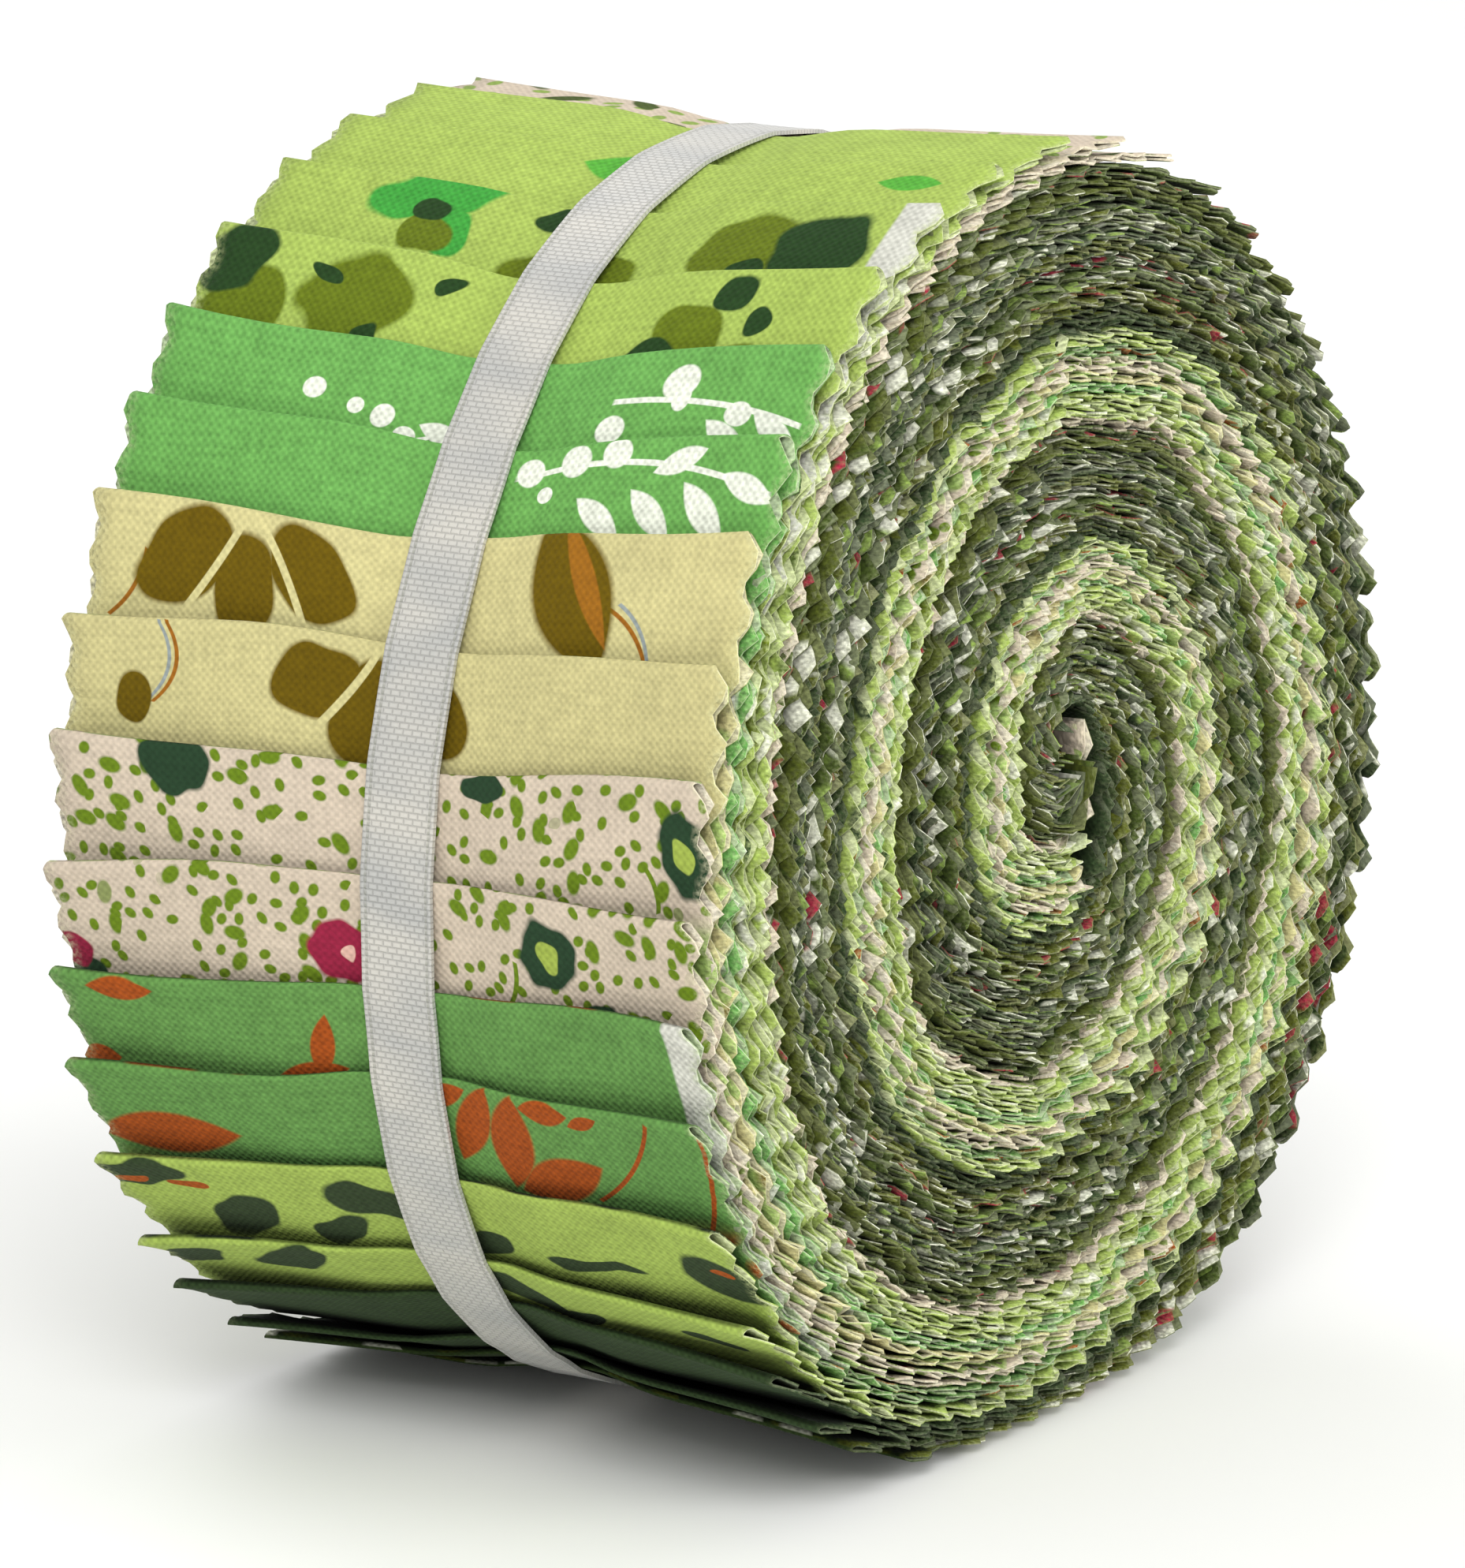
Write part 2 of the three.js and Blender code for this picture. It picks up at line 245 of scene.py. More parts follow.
def strip_shape(i, fabric_slide):
    """Middle surface of strip i, with what its finish needs at each point."""
    end_radius = chance.uniform(*EYE_RADIUS)
    if i < SHORT_STRIPS:
        end_radius = ROLL_RADIUS * (1 - (chance.normal(*SHORT_END) - STARTS[i]) / (360 * TURNS))
    end = wound_length(TUCK_RADIUS if i in TUCK_STRIPS else end_radius)
    length, ply, back, along = (row[:, None] for row in strip_rows(end))
    across = np.repeat(COLUMNS[None, :], len(length), 0)
    die = chance.normal(0, DIE_SHIFT) * TOOTH_PITCH
    place = along[:, 0]
    uneven = 1 + UNEVEN * np.sin(place * UNEVEN_WAVES[0] + i) * np.sin(place * UNEVEN_WAVES[1])
    for column, side in ((0, -1), (-1, 1)):
        threads = chance.normal(0, LOOSE_THREADS, len(length)) * smooth(length[:, 0], *THREADS_FROM)
        depth = tooth(place + die + EDGES_APART * side) * uneven * (1 if side < 0 else BACK_WEAR)
        across[:, column] = side * (HALF - depth + threads)

    turn = turned(length)
    wander = chance.uniform(0, 2 * math.pi, 2)
    long_wave, short_wave = (
        np.sin(2 * math.pi * across / wave + start) for wave, start in zip(WANDER_LENGTHS, wander)
    )
    stray, fade = long_wave + 0.5 * short_wave, np.exp(-turn / WANDER_FADE)
    angle = STARTS[i] + turn + FOLD_SKEW * across / HALF + FOLD_WANDER * stray * fade
    share = turn / WIDTHS[i]
    aside = np.abs(across + RIM_SLIDE - ribbon_middle(angle))
    out = np.clip(aside / HALF, 0, OUTMOST)
    loose = looseness(angle)

    step = STEP_MIDDLE + (STEP_EDGE - STEP_MIDDLE) * out**STEP_GROWTH
    fold = step * (1 - np.clip(share, 0, 1) ** FOLD_FALL)
    flare = EDGE_FLARE * out**2 * np.exp(-np.maximum(share - 1, 0) / FLARE_DEPTH)
    near = np.exp(-((np.maximum(aside - PINCH_FLAT, 0) / PINCH_REACH) ** 2))
    pinch = PINCH * near * np.exp(-share / PINCH_DEPTH)
    wound, to_right, to_top = by_hand(turn, angle)
    middle = wound + (flare + fold) * loose - pinch

    gap = PLY_PITCH / 2 + FOLD_PUFF * out * np.exp(-share / PUFF_DEPTH) * loose
    radius = middle + gap * ply
    angle = angle - np.degrees(FOLD_BULGE * gap * back / ROLL_RADIUS)
    frayed = np.zeros_like(across)
    frayed[:, [0, -1]] = 1
    ruffle = chance.normal(0, RUFFLE, across.shape) * frayed * smooth(length, *RUFFLE_FROM)
    lifted = CLOTH_CLEAR + UNDER_RIBBON * smooth(aside, *SEAT_WALL)
    radius = squeezed(radius + ruffle, flat_limit(angle, lifted))

    phase = (STARTS[i] - FIRST_FOLD) / 360
    outer = smooth(radius, RIM_SLIDE_FROM, ROLL_RADIUS)
    slide = np.interp(phase, SLIDE_PHASE, SLIDE) + fabric_slide + chance.normal(0, SLIDE_JITTER["strip"])
    slide = slide + SLIDE_WAVE * np.sin(2 * math.pi * length / SLIDE_WAVE_LENGTH + wander[0])
    y = across + slide * (1 - outer) + RIM_SLIDE * outer
    points = seat(radius, angle, y, to_right, to_top)
    shown = smooth(length, *SHOWN_DEPTH) * (ply > 0) + 0 * across
    return points, along + 0 * across, across, frayed, shown


def sheet_faces(kept):
    """Faces of a closed thin sheet, whose row j keeps the columns kept[j]: more or fewer of its neighbour's."""
    columns = max(map(max, kept)) + 1
    used = np.zeros((len(kept), columns), bool)
    for row, places in zip(used, kept):
        row[places] = True
    ids = np.full(used.shape, -1)
    ids[used] = np.arange(used.sum())
    under = used.sum()
    faces, rims = [], []

    def skin(*corners):
        faces.append(corners)
        faces.append(tuple(c + under for c in reversed(corners)))

    for j, (near, far) in enumerate(zip(kept, kept[1:])):
        fewer = min(near, far, key=len)
        for a, b in zip(fewer, fewer[1:]):
            if len(near) == len(far):
                skin(ids[j, a], ids[j + 1, a], ids[j + 1, b], ids[j, b])
                continue
            dense = [k for k in max(near, far, key=len) if a <= k <= b]
            half = dense[len(dense) // 2]
            for k, l in zip(dense, dense[1:]):
                corner = a if k < half else b
                if fewer is far:
                    skin(ids[j, k], ids[j + 1, corner], ids[j, l])
                else:
                    skin(ids[j, corner], ids[j + 1, k], ids[j + 1, l])
            if fewer is far:
                skin(ids[j, half], ids[j + 1, a], ids[j + 1, b])
            else:
                skin(ids[j, a], ids[j + 1, half], ids[j, b])
        a, b = ids[j, 0], ids[j + 1, 0]
        rims.append((b, a, a + under, b + under))
        a, b = ids[j, -1], ids[j + 1, -1]
        rims.append((a, b, b + under, a + under))
    for j, step in ((0, 1), (len(kept) - 1, -1)):
        for a, b in zip(kept[j], kept[j][1:]):
            a, b = (ids[j, a], ids[j, b])[::step]
            rims.append((a, b, b + under, a + under))
    return used, faces, rims


def thickened(middle, thickness):
    """Both sides of a sheet from its middle surface."""
    along = np.gradient(middle, axis=0)
    across = np.gradient(middle, axis=1)
    normal = np.cross(along, across)
    normal /= np.maximum(np.linalg.norm(normal, axis=-1, keepdims=True), 1e-9)
    return middle + normal * thickness / 2, middle - normal * thickness / 2


def made_mesh(name, points, faces, rims, **facts):
    mesh = bpy.data.meshes.new(name)
    mesh.from_pydata((points * MM).tolist(), [], faces + rims)
    smooth_faces = np.concatenate([np.ones(len(faces), bool), np.zeros(len(rims), bool)])
    mesh.polygons.foreach_set("use_smooth", smooth_faces)
    for fact, values in facts.items():
        made = mesh.attributes.new(fact, "FLOAT_VECTOR", "POINT")
        made.data.foreach_set("vector", np.asarray(values, np.float32).ravel())
    piece = bpy.data.objects.new(name, mesh)
    bpy.context.scene.collection.objects.link(piece)
    return piece


SECOND_STRIP = 1100.0  # where the second strip of a fabric starts on its print


def fabric_piece(name, strips):
    """The strips of one fabric, as one piece."""
    points, faces, rims, cloth, wear = [], [], [], [], []
    first = 0
    fabric_slide = chance.normal(0, SLIDE_JITTER["fabric"])
    for number, i in enumerate(strips):
        middle, along, across, frayed, shown = strip_shape(i, fabric_slide)
        centre = len(middle) // 2
        from_fold = [max(abs(j - centre) - len(FOLD_BEND) // 2, 0) for j in range(len(middle))]
        used, top, edge = sheet_faces([columns_at(row) for row in from_fold])
        out, back = thickened(middle, PLY)
        points += [out[used], back[used]]
        for side in (1.0, 0.0):
            place = (across, along + number * SECOND_STRIP, side + 0 * across)
            cloth.append(np.stack([p[used] for p in place], -1))
            tone = np.full(used.sum(), chance.uniform(0, 1) if side else 0)
            wear.append(np.stack([frayed[used], shown[used], tone], -1))
        faces += [tuple(c + first for c in face) for face in top]
        rims += [tuple(c + first for c in face) for face in edge]
        first += 2 * used.sum()
    return made_mesh(
        name, np.concatenate(points), faces, rims, cloth=np.concatenate(cloth), wear=np.concatenate(wear)
    )


# The ribbon
def ribbon_piece():
    start = 20.0  # the lap lies away from the folds that show
    around = 2 * math.pi * (ROLL_RADIUS - 0.3)  # measured along the ribbon's pinched middle
    angles = start + np.arange(0, 360 * (1 + RIBBON_LAP / around), 1.0)
    across = np.array([-1, -0.93, -0.8, -0.5, 0, 0.5, 0.8, 0.93, 1]) * RIBBON_WIDTH / 2
    angle, v = np.meshgrid(angles, across, indexing="ij")
    turn = (angle - FIRST_FOLD) % 360
    order = np.searchsorted(STARTS - FIRST_FOLD, turn, "right") - 1
    share = np.clip((turn - (STARTS - FIRST_FOLD)[order]) / WIDTHS[order], 0, 1)
    sag = RIBBON_SAG * 4 * share * (1 - share)
    over_start = smooth(angle, start + 357, start + 362)
    lapped = over_start * (RIBBON_THICKNESS + 0.06)
    radius = roundness(angle) - PINCH + STEP_MIDDLE * looseness(angle) + RIBBON_OVER + lapped - sag
    radius = radius + 0.05 * np.abs(v / (RIBBON_WIDTH / 2)) ** 6
    radius = np.minimum(radius, flat_limit(angle, RIBBON_CLEAR + RIBBON_THICKNESS / 2))
    wander = 0.25 * np.sin(np.radians(3 * angle + 40)) + 0.15 * np.sin(np.radians(7 * angle))
    y = ribbon_middle(angle) + v + wander
    x, z = radius * np.cos(np.radians(angle)), radius * np.sin(np.radians(angle))
    middle = np.stack([x, y, z], -1)[::-1] + AXIS
    along = (angle - start) / 360 * around
    rows, columns = angle.shape
    used, faces, rims = sheet_faces([list(range(columns))] * rows)
    out, back = thickened(middle, RIBBON_THICKNESS)
    sides = [np.stack([v, along[::-1], side + 0 * v], -1)[used] for side in (1.0, 0.0)]
    return made_mesh(
        "tie_band", np.concatenate([out[used], back[used]]), faces, rims, weave=np.concatenate(sides)
    )


# Finishes
def paint(code):
    """A colour written as six hex digits, in linear light."""
    parts = [int(code[k : k + 2], 16) / 255 for k in (0, 2, 4)]
    return (*[p / 12.92 if p < 0.04045 else ((p + 0.055) / 1.055) ** 2.4 for p in parts], 1.0)


class Value:
    """A number that varies over a surface: a socket that takes part in sums."""

    def __init__(self, finish, socket):
        self.finish, self.socket = finish, socket

    def sum(self, operation, *others):
        return self.finish.node("ShaderNodeMath", {"operation": operation}, [self, *others])

    def __add__(self, other):
        return self.sum("ADD", other)

    __radd__ = __add__

    def __sub__(self, other):
        return self.sum("SUBTRACT", other)

    def __rsub__(self, other):
        return self.finish.node("ShaderNodeMath", {"operation": "SUBTRACT"}, [other, self])

    def __mul__(self, other):
        return self.sum("MULTIPLY", other)

    __rmul__ = __mul__

    def __truediv__(self, other):
        return self.sum("DIVIDE", other)

    def __abs__(self):
        return self.sum("ABSOLUTE")

    def __or__(self, other):
        return self.sum("MAXIMUM", other)

    def __and__(self, other):
        return self.sum("MINIMUM", other)


class Finish:
    """A material and the ways to write its nodes."""

    def __init__(self, name, **settings):
        self.material = bpy.data.materials.new(name)
        self.material.use_nodes = True
        self.tree = self.material.node_tree
        self.shader = self.tree.nodes["Principled BSDF"]
        for socket, value in settings.items():
            self.shader.inputs[socket.replace("_", " ").title()].default_value = value

    def feed(self, socket, value):
        if isinstance(value, Value):
            self.tree.links.new(value.socket, socket)
        else:
            socket.default_value = value

    def node(self, kind, settings, sockets, out=0):
        made = self.tree.nodes.new(kind)
        for setting, value in settings.items():
            setattr(made, setting, value)
        for place, value in sockets.items() if isinstance(sockets, dict) else enumerate(sockets):
            self.feed(made.inputs[place], value)
        return Value(self, made.outputs[out])

    def fact(self, name):
        """A vector that the mesh carries."""
        return self.node("ShaderNodeAttribute", {"attribute_name": name}, {}, "Vector")

    def parts(self, vector):
        return [self.node("ShaderNodeSeparateXYZ", {}, [vector], k) for k in range(3)]

    def vector(self, x, y, z=0.0):
        return self.node("ShaderNodeCombineXYZ", {}, [x, y, z])

    def moved(self, vector, by, amount):
        """vector + by * amount"""
        settings = {"operation": "MULTIPLY_ADD"}
        return self.node("ShaderNodeVectorMath", settings, [by, (amount,) * 3, vector])

    def mix(self, share, a, b):
        return self.node("ShaderNodeMix", {"data_type": "RGBA"}, {0: share, 6: a, 7: b}, 2)

    def dimmed(self, colour, by):
        """A colour times a grey value."""
        settings = {"data_type": "RGBA", "blend_type": "MULTIPLY"}
        grey = self.node("ShaderNodeCombineColor", {}, [by, by, by])
        return self.node("ShaderNodeMix", settings, {0: 1.0, 6: colour, 7: grey}, 2)

    def noise(self, vector, scale, detail=2.0, out=0):
        sockets = {"Vector": vector, "Scale": scale, "Detail": detail}
        return self.node("ShaderNodeTexNoise", {}, sockets, out)

    def ramp(self, value, low, high):
        """0 at low, 1 at high, straight between."""
        return self.node("ShaderNodeMapRange", {}, {0: value, 1: low, 2: high})

    def placed(self, point, at, size, turn=0.0):
        """A point seen from a motif's own middle, in the motif's sizes."""
        sockets = [point, (*at, 0.0), (0.0, 0.0, math.radians(turn)), (*size, 1e3)]
        return self.node("ShaderNodeMapping", {"vector_type": "TEXTURE"}, sockets)

    def length(self, vector):
        return self.node("ShaderNodeVectorMath", {"operation": "LENGTH"}, [vector], "Value")

    def blob(self, point, at, size, turn=0.0, soft=0.06):
        """An ellipse."""
        return self.ramp(self.length(self.placed(point, at, size, turn)), 1 + soft, 1 - soft)

    def leaf(self, point, at, size, turn=0.0, soft=0.08):
        """A leaf with two pointed ends."""
        x, y, _ = self.parts(self.placed(point, at, size, turn))
        return self.ramp(1 - x * x - abs(y), -soft, soft)

    def stem(self, point, at, size, turn=0.0, width=0.25, bow=0.25):
        """A thin bowed line."""
        x, y, _ = self.parts(self.placed(point, at, (size, size), turn))
        line = self.ramp(abs(y - bow * (1 - x * x)), (width + 0.08) / size, width / size)
        return line & self.ramp(abs(x), 1.0, 0.97)

    def dots(self, point, cell, share, size, stretch=1.0, seed=0.0):
        """Scattered dots or dashes, each turned its own way, in part of the cells of a loose grid."""
        shifted = self.placed(point, (seed, seed * 0.7), (cell, cell))
        cells = {"voronoi_dimensions": "2D"}
        sockets = {"Vector": shifted, "Scale": 1.0, "Randomness": 0.85}
        middle = self.node("ShaderNodeTexVoronoi", cells, sockets, "Position")
        tint = self.node("ShaderNodeTexVoronoi", cells, sockets, "Color")
        pick, spin, _ = self.parts(tint)
        away = self.node("ShaderNodeVectorMath", {"operation": "SUBTRACT"}, [shifted, middle])
        turned_away = self.node(
            "ShaderNodeVectorRotate", {"rotation_type": "Z_AXIS"}, {"Vector": away, "Angle": spin * 6.28}
        )
        apart = self.length(self.placed(turned_away, (0, 0), (size * stretch, size)))
        return self.ramp(apart, 1.15, 0.85) & self.ramp(pick, share + 0.01, share - 0.01)


WHITE_BACK, LINT, SELVEDGE = paint("d9d6c4"), paint("dfe3b4"), paint("c9c9be")
SELVEDGE_REACH = 40  # how far it shows to each side of the fold
VALLEY_SHADE = 0.64  # painted shade: how far the cloth is darkened between the teeth of packed plies, where shade falls
THREAD = 0.4  # pitch of the cotton's threads
SLUB_WIDTH, SLUB_LENGTH = 0.42, 3.0  # of the thick places in its threads
SLUB_SHADE, WEAVE_SHADE, STRIP_SHADE = 0.55, 0.16, 0.06  # how far each changes the colour
TUFT_SHADE = 1.9  # the same for the tufts of the cut edges


def blend(share, a, b):
    """A colour between two."""
    return tuple((1 - share) * p + share * q for p, q in zip(a, b))


def cotton(name, ground, printed, pale, bleached=None):
    """Printed plain-weave cotton. printed(finish, point, shown, ground) gives the face side's colour, pale is
    how far the back is from it, and bleached is where a selvedge lies: from, to, and on which strip."""
    finish = Finish(name, roughness=0.95, sheen_weight=0.02, sheen_roughness=0.5)
    finish.feed(finish.shader.inputs["Specular IOR Level"], 0.12)
    back, fluffy = blend(pale, ground, WHITE_BACK), blend(0.12 + 0.9 * pale, ground, LINT)
    across, along, side = finish.parts(finish.fact("cloth"))
    frayed, shown, tone = finish.parts(finish.fact("wear"))
    point = finish.vector(across, along)
    colour = printed(finish, point, shown, ground)
    if bleached is not None:
        low, high, strip = bleached
        fold = SECOND_STRIP * strip
        edge = finish.ramp(across, low, low + 0.3) & finish.ramp(across, high, high - 0.3)
        here = finish.ramp(along, fold - SELVEDGE_REACH, fold - SELVEDGE_REACH + 1)
        there = finish.ramp(along, fold + SELVEDGE_REACH + 1, fold + SELVEDGE_REACH)
        colour = finish.mix(edge & here & there, colour, SELVEDGE)
    colour = finish.mix(finish.ramp(side, 0.45, 0.55), back, colour)
    slub = finish.noise(finish.vector(across * (1 / SLUB_WIDTH), along * (1 / SLUB_LENGTH)), 1.0, 3.0)
    pick = finish.noise(finish.vector(across * (1 / SLUB_LENGTH), along * (1 / SLUB_WIDTH)), 1.0, 3.0)
    threads = finish.moved(point, finish.noise(point, 0.7, 1.0, 1), THREAD * 0.9)
    warp, weft, _ = finish.parts(threads)
    weave = (warp * (math.pi / THREAD)).sum("SINE") * (weft * (math.pi / THREAD)).sum("SINE")
    contrast = 1.3 - 1.3 * sum(ground[:3]) / 3  # threads show best on a dark ground
    yarns = (slub + pick - 1) * SLUB_SHADE + weave * WEAVE_SHADE
    colour = finish.dimmed(colour, 1.0 + yarns * contrast - tone * STRIP_SHADE)
    fuzz = finish.noise(point, 2.6, 2.0)  # lint that the shears leave
    fluff = finish.ramp(frayed, 0.55, 1.0) * finish.ramp(fuzz, 0.35, 0.7)
    colour = finish.mix(fluff * 0.6, colour, fluffy)
    tufts = finish.noise(finish.vector(across * 1.4, along * 2.8, side * 7), 1.0, 3.0) - 0.5
    colour = finish.dimmed(colour, 1 + tufts * finish.ramp(frayed, 0.15, 0.55) * (1 - shown) * TUFT_SHADE)
    # Painted shade: the cloth darkens away from the tooth tips, deep between the packed plies on the face, where
    # shade falls.
    valley_shade_mask = finish.ramp(abs(across), HALF - 0.3, HALF - TOOTH_DEPTH - 0.4) * (1 - shown)
    colour = finish.dimmed(colour, 1 - valley_shade_mask * VALLEY_SHADE)
    finish.feed(finish.shader.inputs["Base Color"], colour)
    creases = finish.noise(finish.vector(across * 0.05, along * 0.6), 1.0, 2.0)
    height = weave * 0.05 + (slub + pick) * 0.06 + creases * 0.3 + fuzz * frayed * 0.45
    bump = finish.node("ShaderNodeBump", {}, {"Strength": 0.6, "Distance": MM, "Height": height}, "Normal")
    finish.feed(finish.shader.inputs["Normal"], bump)
    return finish.material


def ragged(finish, point, size, amount):
    """A point strayed a little, so that a motif's outline isn't even."""
    strayed = finish.moved(point, finish.noise(point, 1 / size, 0.0, 1), amount)
    return finish.moved(strayed, (-0.5, -0.5, 0.0), amount)


def on(strip, *rows):
    """Motif rows of a strip: across, down from its fold, width, height, turn."""
    return [(across, down + SECOND_STRIP * strip, w, h, turn) for across, down, w, h, turn in rows]


def union(finish, make, point, rows):
    """One mask of all the motifs of a kind."""
    mask = None
    for across, down, w, h, turn in rows:
        shape = make(point, (across, down), (w, h), turn)
        mask = shape if mask is None else mask | shape
    return mask


def stamped(finish, make, point, colour, *layers):
    """Layers of one kind of motif over a colour: tint and rows."""
    for tint, rows in layers:
        colour = finish.mix(union(finish, make, point, rows), colour, tint)
    return colour


def flecked(finish, point, colour, *layers):
    """Layers of flecks over a colour, for edges that hide the print: tint, cell, share, size, stretch, seed."""
    for tint, *scatter in layers:
        colour = finish.mix(finish.dots(point, *scatter), colour, tint)
    return colour


def stems(finish, point, *rows):
    """One mask of bowed lines: across, down, length, turn, width and bow."""
    mask = None
    for across, down, *shape in rows:
        line = finish.stem(point, (across, down), *shape)
        mask = line if mask is None else mask | line
    return mask


def plain(finish, point, shown, ground):
    """The ground with faint clouds, as dyed cotton has."""
    cloudy = finish.noise(point, 0.12, 2.0)
    shade = tuple(0.86 * c for c in ground[:3]) + (1.0,)
    return finish.mix(finish.ramp(cloudy, 0.3, 0.8), ground, shade)


def speckled(first, second, cell=4.0, share=0.45, stretch=1.6, on_shown=1.0):
    """Flecks of two colours on the cut edges, and small seeds and leaves of them where the cloth shows."""
    layers = (
        (first, (cell, share, 0.38, stretch), (cell * 0.62, share, 0.2, 1.6, 5.1)),
        (second, (cell * 1.2, share * 0.6, 0.34, stretch, 3.3), (cell * 1.3, 0.45, 0.17, 2.4, 8.2)),
    )

    def printed(finish, point, shown, ground):
        colour = plain(finish, point, shown, ground)
        for tint, edge, seed in layers:
            colour = finish.mix(finish.dots(point, *edge) * (1 - shown), colour, tint)
            colour = finish.mix(finish.dots(point, *seed) * shown * on_shown, colour, tint)
        return colour

    return printed


def pebble_leaves(finish, point, shown, ground):
    """Rounded leaf shapes in olive, dark and mid green."""
    olive, dark, mid = paint("617119"), paint("25401e"), paint("3f9a3c")
    mids = on(0, (16, 1.5, 6.5, 2.6, 20), (13.5, 5, 2.4, 3.2, 50))
    olives = on(0, (15, 6, 2.6, 2.4, 0), (-16, 6, 5.0, 4.2, 10), (0, 8.5, 6.5, 3.4, 5))
    olives += on(1, (27, 6.5, 4.2, 3, 0), (17, 5, 5.4, 4.2, -12), (-16, 6.5, 3.2, 3.6, 30))
    olives += on(1, (-21, 9, 2.6, 2.4, 0))
    darks = on(0, (15.6, 3, 1.8, 1.5, 0), (3.6, 1.4, 2.4, 1.5, 0), (-23, 5.6, 4.6, 4.4, 15))
    darks += on(0, (-17, 8.4, 2, 1.2, 0))
    darks += on(1, (29.5, 2.6, 3.2, 2.8, 20), (14.5, 8.6, 1.4, 1.5, 0), (8.6, 2.2, 1.6, 1, 30))
    darks += on(1, (-13, 8.6, 2.6, 2.2, 0), (-18.5, 2, 2, 1.6, 30), (-22, 4.4, 1.3, 1.7, 0))
    darks += on(1, (20.5, 2.4, 1.8, 0.8, -20))
    colour = plain(finish, point, shown, ground)
    flecks = (PALE, 4.4, 0.4, 0.36, 1.4, 6.0), (olive, 8.0, 0.45, 0.34, 1.2), (dark, 6.0, 0.35, 0.26, 1.1, 2.0)
    deep = flecked(finish, point, colour, *flecks)
    loose = ragged(finish, point, 3.5, 2.4)
    leaves = stamped(finish, finish.blob, loose, colour, (mid, mids), (olive, olives), (dark, darks))
    return finish.mix(shown, deep, leaves)


def quiet_leaves(finish, point, shown, ground):
    """A nearly plain ground with an odd leaf."""
    mid, dark = paint("55a53a"), paint("4c5f25")
    leaves = on(1, (3.5, 2.2, 4.2, 2.2, 0), (-25, 3.4, 3, 1.2, 0))
    colour = stamped(finish, finish.leaf, point, plain(finish, point, shown, ground), (mid, leaves))
    deep = flecked(finish, point, colour, (PALE, 4.4, 0.4, 0.36, 1.4, 6.0), (dark, 9.0, 0.3, 0.3, 1.5))
    return finish.mix(shown, deep, colour)


def white_sprigs(finish, point, shown, ground):
    """White stems with buds on one side and long leaves on the other."""
    white = paint("e2e6d6")
    buds = on(0, (16.5, 4.4, 1.1, 0.9, 0), (9.5, 6.2, 1.1, 1.0, 30), (7.2, 7.6, 1.0, 0.8, 0))
    buds += on(0, (12.2, 5.6, 0.8, 0.7, 0), (-18.2, 2.6, 1.7, 1.4, 20), (-18.6, 3.8, 0.9, 1.2, 0))
    buds += on(0, (-12.6, 6.4, 1.4, 1.2, 0), (-24.5, 5.2, 1.3, 1.0, 0))
    buds += on(1, (-6.6, 1.8, 1.4, 1.2, 0), (-11.2, 1.2, 1.5, 1.3, 0), (-15.2, 0.8, 1.4, 1.2, 0))
    buds += on(1, (-8.6, 3.8, 0.8, 0.7, 0))
    leaves = on(0, (-24, 7.4, 2.9, 1.1, -35), (-28.5, 6.6, 2.8, 1.0, -30), (4.0, 7.0, 2.2, 0.9, -15))
    leaves += on(1, (-14.5, 6.0, 2.9, 1.05, -35), (-19.5, 5.8, 3.0, 1.1, -42), (-24.6, 5.6, 3.3, 1.2, -45))
    leaves += on(1, (-21.5, 1.6, 2.6, 0.9, 20), (-28.5, 3.6, 2.9, 1.0, -20))
    second = SECOND_STRIP
    lines = (10, 6.6, 8, 5, 0.14), (-21.5, 5.0, 9.5, 174, 0.2, 0.07), (-18, second + 3.2, 13, 176, 0.2, 0.12)
    colour = plain(finish, point, shown, ground)
    drawn = union(finish, finish.blob, point, buds) | union(finish, finish.leaf, point, leaves)
    drawn = drawn | stems(finish, point, *lines)
    deep = flecked(finish, point, colour, (white, 6.0, 0.5, 0.26, 2.0))
    return finish.mix(shown, deep, finish.mix(drawn, colour, white))


def brown_petals(finish, point, shown, ground):
    """Fans of broad brown petals with pale veins, a striped leaf and thin curling stems."""
    brown, ochre, grey, rust = paint("655208"), paint("96621a"), paint("8f9896"), paint("98601c")
    petals = on(0, (23.0, 4.2, 5.0, 3.5, 38), (17.2, 6.0, 4.9, 2.9, 92), (11.0, 4.2, 5.0, 3.0, 142))
    petals += on(1, (8.8, 3.6, 4.2, 3.0, 12), (3.6, 6.0, 5.0, 3.6, 70), (-2.6, 5.2, 4.2, 2.6, 130))
    petals += on(1, (26, 6, 1.7, 2.1, 0))
    leaf, stripe = on(0, (-14.4, 4.6, 7.4, 4.0, 118)), on(0, (-15.6, 3.6, 6.0, 1.1, 118))
    second = SECOND_STRIP
    curls = (28.5, 6.5, 3.2, 60, 0.16), (-20.5, 8.2, 3.4, 130, 0.16), (23.5, second + 3, 3.4, 80, 0.16, 0.5)
    wires = (-21.0, 7.6, 3.0, 125, 0.14), (24.2, second + 3, 3.4, 80, 0.14, 0.5)
    veins = (20.4, 4.4, 5.4, 58, 0.3, 0.06), (14, 4.4, 5.6, 124, 0.3, 0.1), (6.8, second + 5, 5.6, 52, 0.3, 0.08)
    ground_colour = plain(finish, point, shown, ground)
    colour = finish.mix(stems(finish, point, *curls), ground_colour, rust)
    colour = finish.mix(stems(finish, point, *wires), colour, grey)
    colour = stamped(finish, finish.blob, ragged(finish, point, 4.0, 1.6), colour, (brown, petals))
    colour = finish.mix(stems(finish, point, *veins), colour, ground)
    colour = stamped(finish, finish.leaf, point, colour, (brown, leaf), (ochre, stripe))
    flecks = (SPROUT, 4.0, 0.55, 0.4, 1.3, 4.0), (brown, 9.0, 0.3, 0.25, 1.4)
    return finish.mix(shown, flecked(finish, point, ground_colour, *flecks), colour)


